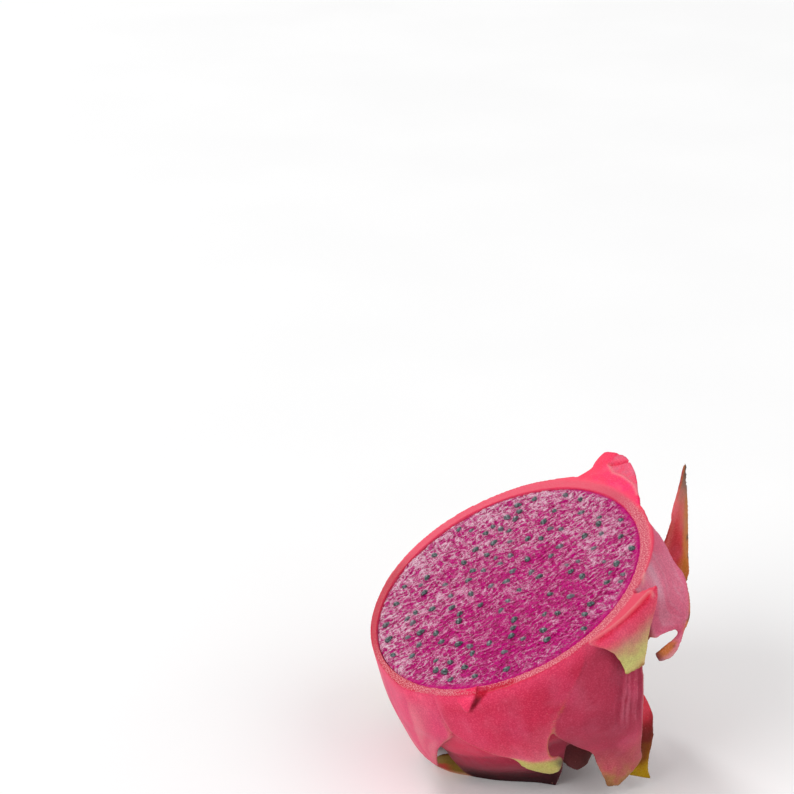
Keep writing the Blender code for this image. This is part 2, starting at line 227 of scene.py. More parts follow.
CUT_BRACTS = (
    Bract(
        "front left",
        [(165, 46.3, 4), (160, 46.4, -8), (161, 45.2, -20), (173, 43, -32), (203.5, 42, -36.3)],
        [(222, 46.8, 4), (224, 47, -8), (225, 46.3, -15.8), (220, 44.7, -20), (212.3, 44, -25.9),
         (203.5, 42, -36.3)],
        0.5, 0.6, 2.0, "pink",
    ),
    Bract(
        "front",
        [(219, 46.7, 4), (222, 47, -6), (226, 46.4, -15), (233, 45.5, -20.5), (241, 44.8, -25.5),
         (246, 44.4, -28), (249.5, 44.3, -32.6), (254, 44.1, -35.6), (258, 43.9, -37.6), (260.6, 43.7, -38.2)],
        [(284, 46.9, 4), (281, 47.2, -5), (271, 47, -14), (266.5, 46, -19.5), (261.5, 45, -26),
         (260.6, 45, -30.4), (263, 45.8, -30.4), (265, 46.2, -32.6), (264.3, 45.6, -35.6), (262, 44.2, -38)],
        1.0, 0.55, 2.0, "front",
    ),
    Bract(
        "front right",
        [(284, 46.5, 4), (280, 46.9, -6), (268, 46.4, -15), (264, 45, -24), (271.5, 40.5, -35.5),
         (278.3, 38.5, -42.5), (281.2, 36.4, -50.5), (284.8, 36, -60.5)],
        [(312, 46, 4), (308, 47.5, -8), (303, 49, -22), (300.5, 47.5, -34), (301.5, 44.5, -44),
         (304, 40.5, -54), (303.5, 38.7, -60), (289, 36, -62.5)],
        1.0, 0.35, 2.0, "long",
    ),
    Bract(
        "cut flap",
        [(283, 47.5, 3), (285.5, 48.8, -1.2), (288, 50.5, -3.4), (291, 51, -8), (293.3, 51.6, -16)],
        [(316, 53.5, 3), (313, 53.5, -3), (309, 53.4, -7), (304.3, 53.2, -10.8), (300, 52.5, -17.6)],
        0.3, 0.35, 2.0, "flap",
    ),
    Bract(
        "right",
        [(312, 45.6, 3), (312, 49.3, -6), (307.5, 51.9, -13.1), (311.5, 53.9, -15.3), (317, 55.9, -18),
         (312.5, 55.1, -17.4), (308, 54.1, -17), (305, 53.2, -17.8)],
        [(352, 44.4, 3), (344, 49.2, -2), (334, 53.5, -7), (329, 56, -9.5), (321, 57.7, -13.4),
         (315, 58.1, -18.9), (309.6, 56.3, -21.8), (305.2, 53.3, -20)],
        0.8, 0.3, 1.8, "curl",
    ),
    Bract(
        "back right",
        [(20, 46, 4), (24, 48, -10), (30, 49, -24), (42, 48, -38), (52, 46, -48)],
        [(78, 46, 4), (80, 48.5, -10), (76, 49, -24), (64, 48, -38), (52, 46, -48)],
        1.0, 0.5, 2.0, "usual",
    ),
    Bract(
        "back left",
        [(84, 46.2, 4), (86, 48, -10), (92, 49, -22), (104, 48, -35), (122, 44, -47)],
        [(160, 46, 4), (160, 47.6, -10), (154, 48.6, -22), (142, 48, -35), (122, 44, -47)],
        0.6, 0.5, 2.0, "usual",
    ),
)

LOW_BRACTS = (
    Bract(
        "shadowed front",
        [(205, 41, -20), (204, 38, -32), (203, 34.7, -42), (203.5, 31.4, -50), (226, 23, -68)],
        [(272, 40, -26), (270, 35, -38), (267, 29.5, -48), (262, 25.5, -56), (248, 20, -68)],
        0.5, 0.5, 2.0, "shadow",
    ),
    Bract(
        "olive tip",
        [(222, 22, -46), (208, 29.5, -41), (197, 36.8, -38.2), (184, 39, -45)],
        [(222, 22, -58), (206, 29, -52), (194, 35.5, -48), (184, 39, -45)],
        0.5, 0.25, 1.6, "olive",
    ),
    Bract(
        "low right",
        [(296, 35.5, -32), (296.5, 36, -40), (296.5, 35, -50), (299, 35, -64)],
        [(314, 36.5, -32), (318, 39.2, -44), (318.7, 40, -50.6), (315.5, 40, -53), (313.5, 40, -56.8),
         (309, 39, -63.5), (307, 38.5, -69.5)],
        0.4, 0.4, 1.8, "dark",
    ),
    Bract(
        "low back right",
        [(346, 46, -10), (346, 46.5, -24), (354, 45.5, -38), (8, 43, -51), (24, 39, -66)],
        [(42, 46, -12), (46, 46, -26), (44, 44.5, -40), (36, 42, -53), (24, 39, -66)],
        1.0, 0.45, 1.8, "usual",
    ),
    Bract(
        "low back",
        [(62, 43, -22), (64, 43.5, -35), (74, 40.5, -48), (91, 34, -62)],
        [(124, 43, -24), (120, 43.5, -37), (109, 41, -49), (93, 34, -62)],
        1.0, 0.45, 1.8, "usual",
    ),
    Bract(
        "low left",
        [(134, 42, -24), (136, 42, -34), (144, 39, -44), (158, 33, -56)],
        [(188, 41, -26), (184, 40, -36), (174, 38, -45), (160, 33, -56)],
        1.0, 0.5, 1.8, "usual",
    ),
    Bract(
        "crown front",
        [(262, 22, -44), (266, 24, -50), (270, 24.5, -55), (277, 24, -58.5)],
        [(300, 22, -44), (297, 24, -50), (294, 24.5, -55), (286, 24, -59)],
        0.8, 0.4, 1.6, "crown",
    ),
    Bract(
        "crown right",
        [(318, 21, -46), (321, 22, -54), (330, 22, -63), (341, 19, -74)],
        [(8, 21, -46), (4, 22, -54), (354, 22, -63), (343, 19, -75)],
        0.8, 0.4, 1.6, "crown",
    ),
    Bract(
        "crown back right",
        [(20, 21, -46), (22, 23, -54), (29, 23, -63), (42, 20, -74)],
        [(66, 21, -46), (62, 23, -54), (54, 23, -63), (44, 20, -74)],
        0.8, 0.4, 1.6, "crown",
    ),
    Bract(
        "crown back",
        [(80, 21, -46), (83, 23, -53), (91, 23, -61), (103, 20, -70)],
        [(128, 21, -46), (125, 23, -53), (117, 23, -61), (105, 20, -70)],
        0.8, 0.4, 1.6, "crown",
    ),
    Bract(
        "crown left",
        [(146, 22, -44), (148, 23, -49), (156, 23, -55), (170, 21, -62)],
        [(196, 22, -44), (194, 23, -49), (186, 23, -55), (172, 21, -62)],
        0.8, 0.4, 1.6, "crown",
    ),
)

# Above the level of the cut
HIGH_BRACTS = (
    Bract(
        "lobe",
        [(354, 44.6, 0.1), (6, 48.5, 0.1), (15, 53, 0.3), (22, 56, 0.8), (28, 58.6, 0.6), (33, 60, -0.3)],
        [(46, 44.6, 0.1), (40, 47.5, 0.1), (37, 51, 0.3), (37, 55, 0.8), (36.5, 58.4, 0.6), (35, 60, -0.3)],
        0.0, -1.0, 3.2, "lobe",
    ),
    Bract(
        "spike",
        [(6, 43, -46), (357, 55, -32), (357, 57.6, -22), (357, 59.3, -12.7), (355, 60.5, -5), (354, 61.3, 3),
         (352, 61.9, 11.2)],
        [(352, 44, -24), (351, 52, -8), (348.5, 54.4, -1.4), (350, 57.6, 4.4), (351.5, 60.4, 9),
         (352, 61.9, 11.2)],
        0.5, 0.13, 1.8, "spike",
    ),
    Bract(
        "torn skin",
        [(232, 45.8, 0.3), (233.5, 47.6, -1.6), (236.4, 48.7, -5.2)],
        [(242, 45.6, 1.3), (240, 47.9, -0.8), (237.6, 48.7, -5.2)],
        0.2, -1.0, 1.2, "torn",
    ),
)

BRACTS = CUT_BRACTS + LOW_BRACTS + HIGH_BRACTS
LOOK_ORDER = [bract.look for bract in BRACTS]
LONG = LOOK_ORDER.index("long")
RIGHT = LOOK_ORDER.index("curl")
TORN = LOOK_ORDER.index("torn")


def fruit_to_world():
    """From the fruit's frame in millimetres to the world in metres."""
    lean = Matrix.Rotation(LEAN_HEADING, 4, "Z") @ Matrix.Rotation(LEAN, 4, "Y")
    turn = lean @ Matrix.Rotation(ANGLE_ZERO, 4, "Z")
    return Matrix.Scale(MM, 4) @ Matrix.Translation(FACE_CENTRE) @ turn


def to_world(points):
    matrix = np.array(fruit_to_world())
    return points @ matrix[:3, :3].T + matrix[:3, 3]


def ease(low, high, value):
    share = np.clip((value - low) / (high - low), 0.0, 1.0)
    return share * share * (3.0 - 2.0 * share)


def lattice(x, y, z, seed):
    """A steady pseudo-random number from 0 to 1 for each whole-number place."""
    mask = np.uint64(0xFFFFFFFF)
    mixed = x.astype(np.uint64) * np.uint64(374761393) + y.astype(np.uint64) * np.uint64(668265263)
    mixed = (mixed + z.astype(np.uint64) * np.uint64(2246822519) + np.uint64(seed * 3266489917)) & mask
    mixed = ((mixed ^ (mixed >> np.uint64(13))) * np.uint64(1274126177)) & mask
    return ((mixed ^ (mixed >> np.uint64(16))) & np.uint64(0xFFFF)).astype(float) / 65535.0


def noise(points, cell, seed=0):
    """Smooth value noise from 0 to 1, with one lattice step a cell."""
    scaled = points / np.asarray(cell, float) + 1000.0
    low = np.floor(scaled)
    share = scaled - low
    share = share * share * (3.0 - 2.0 * share)
    low = low.astype(np.int64)
    total = np.zeros(len(points))
    for corner in range(8):
        step = np.array([corner & 1, (corner >> 1) & 1, corner >> 2])
        weight = np.prod(np.where(step == 1, share, 1.0 - share), axis=1)
        place_at = low + step
        total += weight * lattice(place_at[:, 0], place_at[:, 1], place_at[:, 2], seed)
    return total


def place(angle, radius, height):
    turn = np.radians(angle)
    x = RIM_SHIFT[0] + DRIFT * height + radius * np.cos(turn)
    y = RIM_SHIFT[1] + radius * np.sin(turn)
    return np.stack([x, y, height + 0.0 * x], axis=-1)


def place_of(points):
    """The angle, radius and height of points in the fruit's frame."""
    height = points[:, 2]
    x = points[:, 0] - RIM_SHIFT[0] - DRIFT * height
    y = points[:, 1] - RIM_SHIFT[1]
    return np.degrees(np.arctan2(y, x)) % 360.0, np.hypot(x, y), height


def spheroid(height, radius, depth):
    share = np.clip(-height / depth, 0.0, 1.0)
    return radius * np.sqrt(1.0 - share * share)


def body_radius(height):
    share = np.clip((-height - NECK_TOP) / NECK_FLARE_DEPTH, 0.0, 1.0)
    neck = NECK_RADIUS + NECK_FLARE * (1.0 - share) ** 2
    return np.maximum(spheroid(height, RIM_RADIUS, BODY_DEPTH), neck)


def along(rail, shares):
    """Places at shares of a rail's length, by a curve through its points."""
    rail = np.asarray(rail, float)
    spans = len(rail) - 1
    position = np.asarray(shares) * spans
    span = np.minimum(position.astype(int), spans - 1)
    t = (position - span)[:, None]
    before = rail[np.maximum(span - 1, 0)]
    start = rail[span]
    end = rail[span + 1]
    after = rail[np.minimum(span + 2, spans)]
    first = (end - before) / 2.0
    last = (after - start) / 2.0
    change = end - start
    return start + t * (first + t * (3.0 * change - 2.0 * first - last + t * (first + last - 2.0 * change)))


def unwrapped(rail, near):
    """The rail with its angles made continuous from near, so that a bract may lie across angle 0."""
    points = []
    for angle, radius, height in rail:
        near = near + (angle - near + 180.0) % 360.0 - 180.0
        points.append((near, radius, height))
    return points


def bract_sides(bract):
    """Grids of points on the bract's outer and inner sides, with the share of length and the place across."""
    shares = np.linspace(0.0, 1.0, SPANS_ALONG + 1)
    across = np.linspace(-1.0, 1.0, SPANS_ACROSS + 1)
    left = unwrapped(bract.left, bract.left[0][0])
    right = unwrapped(bract.right, left[0][0])
    left_edge = along(left, shares)[:, None, :]
    right_edge = along(right, shares)[:, None, :]
    grid = left_edge + (right_edge - left_edge) * ((across + 1.0) / 2.0)[None, :, None]
    u = np.repeat(shares[:, None], SPANS_ACROSS + 1, axis=1)
    v = np.repeat(across[None, :], SPANS_ALONG + 1, axis=0)
    grid[..., 1] += bract.bulge * (1.0 - v * v) * (1.0 - u)
    grid[..., 1] += ripple(bract, u, v) - flatness(bract, u, v)
    outer = place(grid[..., 0], grid[..., 1], grid[..., 2])
    spread = ease(0.9, 1.0, u) * 0.6
    reach = outer[-10, -1] - outer[-10, 0]
    outer = outer + (reach / np.linalg.norm(reach)) * (v * spread)[..., None]
    down = np.gradient(outer, axis=0)
    over = np.gradient(outer, axis=1)
    normal = np.cross(down, over)
    normal /= np.maximum(np.linalg.norm(normal, axis=2, keepdims=True), 1e-9)
    middle = (1.0 - v * v) * (1.0 - u**3)
    thickness = EDGE_THICKNESS + (bract.thick - EDGE_THICKNESS) * middle
    inner = outer - normal * thickness[..., None]
    deep = np.minimum(grid[..., 1] - thickness, body_radius(grid[..., 2]) - ROOT_SINK)
    fused = place(grid[..., 0] - bract_slant(bract, v), deep, grid[..., 2])
    share_fused = 1.0 - ease(bract.free - 0.04, bract.free + 0.04, u)
    inner = inner + (fused - inner) * share_fused[..., None]
    return outer, inner, u, v


def bract_slant(bract, v):
    """Degrees by which the cut flap's root leans away from its right end, which leaves a notch beside it."""
    return FLAP_SLANT * np.clip(v, 0.0, 1.0) if bract.look == "flap" else 0.0


def flatness(bract, u, v):
    """Millimetres by which the shadowed bract lies closer to the body at its middle than along its edges."""
    return SHADOWED_SAG * (1.0 - v * v) * ease(0.25, 0.7, u) if bract.look == "shadow" else 0.0


def ripple(bract, u, v):
    """Small waves of a bract's edges, in millimetres."""
    phase = sum(ord(letter) for letter in bract.name)
    edge = 0.35 * np.abs(v) ** 3 * np.sin(9.0 * u + phase + 2.0 * v)
    return edge * ease(0.1, 0.3, u) * (1.0 - ease(0.85, 1.0, u))


def grid_faces(rows, columns, start=0):
    """Quads of a grid whose points run along its columns first."""
    index = start + np.arange(rows * columns).reshape(rows, columns)
    quads = np.stack([index[:-1, :-1], index[:-1, 1:], index[1:, 1:], index[1:, :-1]], axis=-1)
    return quads.reshape(-1, 4)


def bract_shell(bract):
    """Points and faces of one closed bract, and its outer and inner samples for colouring."""
    outer, inner, u, v = bract_sides(bract)
    rows, columns = u.shape
    points = np.concatenate([outer.reshape(-1, 3), inner.reshape(-1, 3)])
    count = rows * columns
    faces = [grid_faces(rows, columns), grid_faces(rows, columns, count)[:, ::-1]]
    index = np.arange(count).reshape(rows, columns)
    for border in (index[0], index[-1][::-1], index[::-1, 0], index[:, -1]):
        here, after = border[:-1], border[1:]
        faces.append(np.stack([after, here, here + count, after + count], axis=-1))
    samples = np.stack([u.ravel(), v.ravel()], axis=-1)
    return points, np.concatenate(faces), np.concatenate([samples, samples])


def body_shell():
    heights = np.arange(3.0, -NECK_DEPTH, -BODY_RING_PITCH)
    angles = np.linspace(0.0, 360.0, BODY_SEGMENTS, endpoint=False)
    radii = body_radius(heights)[:, None] + 0.0 * angles[None, :]
    rings = place(angles[None, :] + 0.0 * radii, radii, heights[:, None] + 0.0 * radii)
    return closed_rings(rings)


def closed_rings(rings):
    """A closed body through rings of equal length, with a fan on each end."""
    rows, columns = rings.shape[:2]
    points = rings.reshape(-1, 3)
    index = np.arange(rows * columns).reshape(rows, columns)
    after = np.roll(index, -1, axis=1)
    quads = np.stack([index[:-1], index[1:], after[1:], after[:-1]], axis=-1).reshape(-1, 4)
    points = np.concatenate([points, rings[0].mean(axis=0)[None], rings[-1].mean(axis=0)[None]])
    top = np.stack([index[0], after[0], np.full(columns, len(points) - 2)], axis=-1)
    bottom = np.stack([after[-1], index[-1], np.full(columns, len(points) - 1)], axis=-1)
    return points, quads.tolist() + top.tolist() + bottom.tolist()


def hollow_rings():
    """Rings of the hollow that the flesh fills."""
    heights = np.concatenate([[3.0], np.arange(-1.0, 0.3 - FLESH_DEPTH, -1.0), [0.05 - FLESH_DEPTH]])
    angles = np.linspace(0.0, math.tau, HOLLOW_SEGMENTS, endpoint=False)
    radii = spheroid(heights, FLESH_RADIUS, FLESH_DEPTH)[:, None]
    x = DRIFT * np.minimum(heights, 0.0)[:, None] + radii * np.cos(angles)
    return np.stack([x, radii * np.sin(angles), heights[:, None] + 0.0 * x], axis=-1)


def linked(obj):
    bpy.context.scene.collection.objects.link(obj)
    return obj


def new_object(name, points, faces):
    mesh = bpy.data.meshes.new(name)
    mesh.from_pydata(np.asarray(points).tolist(), [], faces if isinstance(faces, list) else faces.tolist())
    return linked(bpy.data.objects.new(name, mesh))


def joined(name, shells):
    points, faces, start = [], [], 0
    for shell_points, shell_faces in shells:
        points.append(shell_points)
        faces.extend([[start + corner for corner in face] for face in shell_faces])
        start += len(shell_points)
    return new_object(name, np.concatenate(points), faces)


def settle(obj):
    """Replaces the object's mesh by its evaluated one and drops the modifiers."""
    graph = bpy.context.evaluated_depsgraph_get()
    mesh = bpy.data.meshes.new_from_object(obj.evaluated_get(graph))
    obj.modifiers.clear()
    obj.data = mesh


def remeshed(obj, voxel, smoothing):
    remesh = obj.modifiers.new("remesh", "REMESH")
    remesh.mode = "VOXEL"
    remesh.voxel_size = voxel
    remesh.adaptivity = 0.0
    smooth = obj.modifiers.new("smooth", "SMOOTH")
    smooth.factor = 0.5
    smooth.iterations = smoothing
    settle(obj)


def combined(obj, other, operation):
    modifier = obj.modifiers.new("combine", "BOOLEAN")
    modifier.operation = operation
    modifier.object = other
    modifier.solver = "MANIFOLD"
    settle(obj)
    bpy.data.objects.remove(other)


def box(name, low, high):
    corners = [(x, y, z) for x in (low[0], high[0]) for y in (low[1], high[1]) for z in (low[2], high[2])]
    faces = [[0, 1, 3, 2], [4, 6, 7, 5], [0, 4, 5, 1], [2, 3, 7, 6], [0, 2, 6, 4], [1, 5, 7, 3]]
    return new_object(name, corners, faces)


def vertex_floats(vertices, field):
    flat = np.empty(len(vertices) * 3, np.float32)
    vertices.foreach_get(field, flat)
    return flat.reshape(-1, 3).astype(float)


def mesh_points(mesh):
    return vertex_floats(mesh.vertices, "co")


def set_points(mesh, points):
    mesh.vertices.foreach_set("co", points.astype(np.float32).ravel())
    mesh.update()


def mesh_normals(mesh):
    return vertex_floats(mesh.vertex_normals, "vector")


def set_attribute(mesh, name, values):
    """Keeps one, three or four numbers at each point."""
    kind, field = ATTRIBUTE_KINDS[values.size // len(values)]
    attribute = mesh.attributes.new(name, kind, "POINT")
    attribute.data.foreach_set(field, values.astype(np.float32).ravel())


def dress(mesh, points, material):
    """Keeps the points for the material, stands them in the world on the table, and puts the material on."""
    set_attribute(mesh, "fruit", points)
    world = to_world(points)
    world[:, 2] = np.maximum(world[:, 2], 0.0)
    set_points(mesh, world)
    mesh.shade_smooth()
    mesh.materials.clear()
    mesh.materials.append(material)


def seed_places():
    """The part's scatter of seeds: place, turn and size of each."""
    source = random.Random(SEED_RANDOM)
    places = []
    while len(places) < SEED_COUNT:
        reach = SEED_REACH * math.sqrt(source.random())
        angle = math.tau * source.random()
        x = reach * math.cos(angle)
        y = reach * math.sin(angle)
        pitch = SEED_PITCH * (0.55 + 0.6 * source.random())
        turn = math.tau * source.random()
        size = 0.8 + 0.35 * source.random()
        if all(math.hypot(x - other[0], y - other[1]) > pitch for other in places):
            places.append((x, y, turn, size))
    return places


def window(angle, low, high, soft):
    """1 between two angles in degrees, easing to 0 outside them."""
    middle = (low + high) / 2.0
    away = np.abs((angle - middle + 180.0) % 360.0 - 180.0) - (high - low) / 2.0
    return 1.0 - ease(0.0, soft, away)


def line_at(gap, width):
    """1 on a line and less to both sides of it, down to about a third at width."""
    return np.exp(-((gap / width) ** 2))


def path_gap(places, path):
    """How far each place is from a line through path, and its share of the way along the line."""
    path = np.asarray(path, float)
    best = np.full(len(places), 1e9)
    share = np.zeros(len(places))
    for number, (start, end) in enumerate(zip(path[:-1], path[1:])):
        way = end - start
        t = np.clip(((places - start) @ way) / (way @ way), 0.0, 1.0)
        gap = np.linalg.norm(places - start - t[:, None] * way, axis=1)
        nearer = gap < best
        best = np.where(nearer, gap, best)
        share = np.where(nearer, (number + t) / (len(path) - 1), share)
    return best, share


def on_cut(points):
    return ease(-1.9, -0.7, points[:, 2])


def on_skin(points, path):
    """Distance in millimetres from a line of (angle, height) places on the skin, and the share along it."""
    angle, radius, height = place_of(points)
    places = np.stack([angle * RIM_ARC, height], axis=-1)
    gap, share = path_gap(places, [(at * RIM_ARC, high) for at, high in path])
    return np.where(radius > 45.5, gap, 99.0), share


def crevice_masks(points):
    """The opening under the torn flap, and the tear along the front rim."""
    gap, _ = path_gap(points[:, :2], TEAR)
    tear = line_at(gap, 0.5 + 0.7 * noise(points, 1.1, 52)) * on_cut(points)
    gap, share = on_skin(points, OPENING)
    return ease(0.4, -0.4, gap - (1.7 - 1.4 * share)), tear


def fold_masks(points):
    """The groove beside the cut flap, and the fine ridges at its sides."""
    gap, share = path_gap(points[:, :2], FOLD)
    half = 0.3 + 0.6 * np.sin(math.pi * np.clip(share, 0.0, 1.0)) ** 0.7
    groove = ease(half + 0.35, half - 0.35, gap) * on_cut(points)
    return groove, line_at(gap - half - 0.5, 0.3) * on_cut(points)


def sliver_line(points):
    """The pale edge of the thin sliver of skin that runs up the ring from the notch beside the cut flap."""
    gap, _ = path_gap(points[:, :2], SLIVER)
    return line_at(gap, 0.35) * on_cut(points)


def lip_masks(points):
    """The leaf-like lip on the lobe: its edge, the crease in it, and all of it beyond the edge."""
    edge, _ = path_gap(points[:, :2], LIP)
    crease, _ = path_gap(points[:, :2], CREASE)
    angle, radius, height = place_of(points)
    border = np.interp(angle, (6.0, 12.0, 21.0, 26.0, 31.0), (48.2, 50.0, 50.8, 50.8, 53.5))
    here = window(angle, 7, 30, 2.0) * (height > -2.5)
    beyond = ease(border - 0.2, border + 0.3, radius) * here
    return line_at(edge, 0.4) * here, line_at(crease, 0.45) * here, beyond


def colour_samples():
    """A tree of points on every bract and on the bare body, with what each needs for its colour."""
    clouds, values = [], []
    for number, bract in enumerate(BRACTS):
        points, _, samples = bract_shell(bract)
        half = len(points) // 2
        inner = np.concatenate([np.zeros(half), np.ones(half)])
        clouds.append(points)
        values.append(np.column_stack([np.full(len(points), number), samples, inner]))
    points = body_shell()[0][:-2]
    clouds.append(points)
    values.append(np.column_stack([np.full(len(points), -1.0), np.zeros((len(points), 3))]))
    cloud = np.concatenate(clouds)
    tree = KDTree(len(cloud))
    for number, point in enumerate(cloud.tolist()):
        tree.insert(point, number)
    tree.balance()
    return tree, np.concatenate(values)


def nearest_values(points):
    tree, values = colour_samples()
    found = np.fromiter((tree.find(point)[1] for point in points.tolist()), int, len(points))
    return values[found]


def mix(first, second, share):
    return first + (np.asarray(second) - first) * share[:, None]


def plain(points, colour):
    """One colour at every point."""
    return np.tile(np.asarray(colour), (len(points), 1))


def streaks(across, down, seed, layer=0.0):
    """Smooth noise from 0 to 1 over a bract's own places."""
    return noise(np.stack([across, down, 0.0 * down + layer], axis=-1), 1.0, seed)


def along_stops(stops, share):
    """Colours at shares of the way along stops."""
    at = [stop[0] for stop in stops]
    channels = [np.interp(share, at, [stop[1][channel] for stop in stops]) for channel in range(3)]
    return np.stack(channels, axis=-1)


def curled_in(u, v):
    """Where the right bract's end is rolled over, so that its inner side shows."""
    return ease(0.70, 0.78, u) * ease(0.25, 0.0, v)


def curl_marks(paint, u, v, broad, fine, turned):
    paint = mix(paint, DARK, turned * ease(0.62, 0.72, fine) * 0.6)
    paint = mix(paint, DARK, 0.85 * ease(0.88, 0.96, u) * ease(0.6, -0.2, v))
    # A painted highlight along a fold down from the rim, and pale veins along the bract.
    fold = line_at(v + 0.35 + 0.5 * u, 0.16) * ease(0.75, 0.2, u)
    veins = ease(0.6, 0.8, streaks(24.0 * v + 5.0 * u, 3.0 * u, 61))
    return mix(paint, VEIN_AND_HIGHLIGHT_PINK, np.clip(0.7 * fold + 0.5 * veins, 0, 1) * (1.0 - turned))


def spike_marks(paint, u, v, broad, fine, turned):
    side = ease(0.15, -0.45, v + 0.3 * (broad - 0.5)) * ease(0.8, 0.62, u)
    paint = mix(paint, tone(206, 128, 26), 0.85 * side)
    paint = mix(paint, DARK, 0.8 * side * ease(0.66, 0.74, fine) * (v < -0.6))
    return mix(paint, tone(236, 130, 116), 0.6 * ease(0.55, 0.95, v) * ease(0.7, 0.5, u))


def pink_marks(paint, u, v, broad, fine, turned):
    bands = streaks(5.0 * v + 1.5 * u, 2.4 * u, 71)
    return mix(paint, tone(240, 150, 156), 0.45 * ease(0.52, 0.8, bands) * ease(0.0, 0.2, u))


def olive_marks(paint, u, v, broad, fine, turned):
    paint = mix(paint, tone(190, 36, 40), 0.9 * ease(0.3, 0.1, np.abs(u - 0.85)) * (v > -0.1))
    return mix(paint, tone(226, 166, 130), 0.8 * ease(0.45, 0.8, v))


def front_marks(paint, u, v, broad, fine, turned):
    border = -1.0 + 2.4 * (u - 0.5) / 0.3 + 0.3 * (broad - 0.5)
    green = ease(border + 0.4, border - 0.4, v) * (u > 0.4)
    paint = mix(paint, tone(196, 198, 104), green * (0.8 + 0.2 * fine))
    greyed = ease(0.6, 0.82, u) * ease(0.1, 0.9, v + 0.3 * (fine - 0.5))
    return mix(paint, tone(112, 104, 78), greyed)


def long_marks(paint, u, v, broad, fine, turned):
    # Painted shade in the furrows of the pleats near the upper right, and painted light on their crests.
    waves = pleat_wave(u, v)
    shaded = ease(-0.1, 0.5, v) * ease(0.62, 0.35, u) * ease(0.05, 0.2, u)
    paint = mix(paint, tone(146, 30, 60), 0.7 * shaded * np.clip(0.5 - 0.8 * waves, 0.0, 1.0))
    return mix(paint, tone(232, 124, 146), 0.45 * ease(0.2, 0.7, waves))


# What some looks have besides their stops
MARKS = {
    "curl": curl_marks,
    "spike": spike_marks,
    "pink": pink_marks,
    "olive": olive_marks,
    "front": front_marks,
    "long": long_marks,
}


def look_paint(index, u, v, inner, broad, fine):
    """One bract's colour at every place, whether it is on that bract or not."""
    name = LOOK_ORDER[index]
    look = LOOKS[name]
    share = u + (0.10 * (fine - 0.5) + 0.14 * (broad - 0.5)) * ease(0.0, 0.3, u) + 0.06 * v * v
    paint = along_stops(look.stops, np.clip(share, 0.0, 1.0))
    paint = paint * (0.93 + 0.14 * streaks(11.0 * v, 2.0 * u, 17, index))[:, None]
    margin = look.edge_share * ease(0.93, 0.995, np.abs(v)) * ease(0.18, 0.3, u)
    paint = mix(paint, look.edge, margin)
    rolled = curled_in(u, v) if name == "curl" else 0.0 * u
    turned = np.maximum(inner * ease(0.1, 0.3, u) * ease(0.92, 0.8, u), rolled)
    paint = mix(paint, look.inner, 0.9 * turned)
    return MARKS[name](paint, u, v, broad, fine, turned) if name in MARKS else paint


def bract_paint(points, samples):
    """The skin's colour at each point by the bract it lies on and its place there."""
    number, u, v, inner = samples.T
    broad = noise(points, 12.0, 3)
    fine = noise(points, 1.6, 5)
    colour = plain(points, SKIN)
    for index in range(len(BRACTS)):
        paint = look_paint(index, u, v, inner, broad, fine)
        colour = np.where((number == index)[:, None], paint, colour)
    return colour


def pleat_wave(u, v):
    """The pleats near the upper right of the long bract, from -1 to 1."""
    lines = streaks(32.0 * v + 9.0 * (u - 0.3), 2.4 * u, 23)
    return (2.0 * lines - 1.0) * ease(-0.1, 0.6, v) * ease(0.6, 0.4, u) * ease(0.08, 0.2, u)


def body_paint(points, normals, samples):
    """The outer skin's colour: its bracts, painted shade darkening the bare body toward the stub, brown at the
    stub, and a painted glow of light under the rim.
    """
    number = samples[:, 0]
    _, radius, height = place_of(points)
    colour = bract_paint(points, samples) * (0.93 + 0.16 * noise(points, 5.0, 8))[:, None]
    rosy = ease(0.55, 0.85, noise(points, 9.0, 7))
    colour = mix(colour, SKIN_ROSE, 0.35 * rosy * (number <= RIGHT))
    # A painted glow of light on the skin just under the rim.
    painted_glow = ease(-6.5, -0.5, height) * ease(60.0, 50.0, radius) * (normals[:, 2] < 0.7)
    colour = mix(colour, RIM_PAINTED_GLOW, 0.75 * painted_glow * (number != RIGHT))
    # Painted shade: the bare body darker low down under the fruit, then brown at the stub.
    colour = mix(colour, tone(140, 56, 66), 0.8 * ease(-28.0, -42.0, height) * (number < 0))
    return mix(colour, BROWN, ease(-52.0, -56.0, height) * (number < 0))


def skin_colours(points, normals, samples):
    """The rind's colour at each point: its skin, the knife's cut, the lobe, and the marks on them."""
    angle, radius, height = place_of(points)
    colour = body_paint(points, normals, samples)
    colour = mix(colour, cut_colours(points), cut_face_mask(points, normals))
    lobe = window(angle, 2, 44, 8.0) * ease(44.6, 47.0, radius) * ease(-7.0, -3.0, height)
    mottled = 0.5 + 0.5 * ease(0.35, 0.75, noise(points, 0.9, 53))
    colour = mix(colour, mix(plain(points, LOBE_RED), LOBE_PINK, ease(44.0, 20.0, angle) * mottled), lobe)
    groove, ridge = fold_masks(points)
    edge, crease, beyond = lip_masks(points)
    seam, _ = on_skin(points, SEAM)
    colour = mix(colour, SKIN_ROSE, 0.5 * line_at(seam - 0.8, 0.6))
    colour = mix(colour, FOLD_RED, 0.85 * np.maximum(groove, crease))
    colour = mix(colour, CUT_EDGE, 0.8 * sliver_line(points))
    colour = mix(colour, tone(222, 104, 126), 0.8 * beyond * (1.0 - crease) * mottled)
    colour = mix(colour, CUT_EDGE, 0.7 * np.maximum(ridge, edge))
    opening, tear = crevice_masks(points)
    colour = mix(colour, TEAR_RED, 0.95 * tear)
    # Painted shade: the opening under the torn flap darker deeper down.
    hollow = mix(plain(points, TEAR_RED), CREVICE_SHADE, ease(-0.8, -3.0, height))
    colour = mix(colour, hollow, 0.95 * opening)
    bright = np.maximum(0.9 * lobe, 0.6 * (samples[:, 0] == TORN))
    return colour * (PAINT_STRENGTH + (1.0 - PAINT_STRENGTH) * bright)[:, None]


def ring_share(points):
    """How far across the cut ring each point is, from the flesh (0) to the rim (1)."""
    reach = np.hypot(points[:, 0], points[:, 1])
    return np.clip((reach - FLESH_RADIUS) / (RIM_RADIUS - FLESH_RADIUS), 0.0, 1.0)


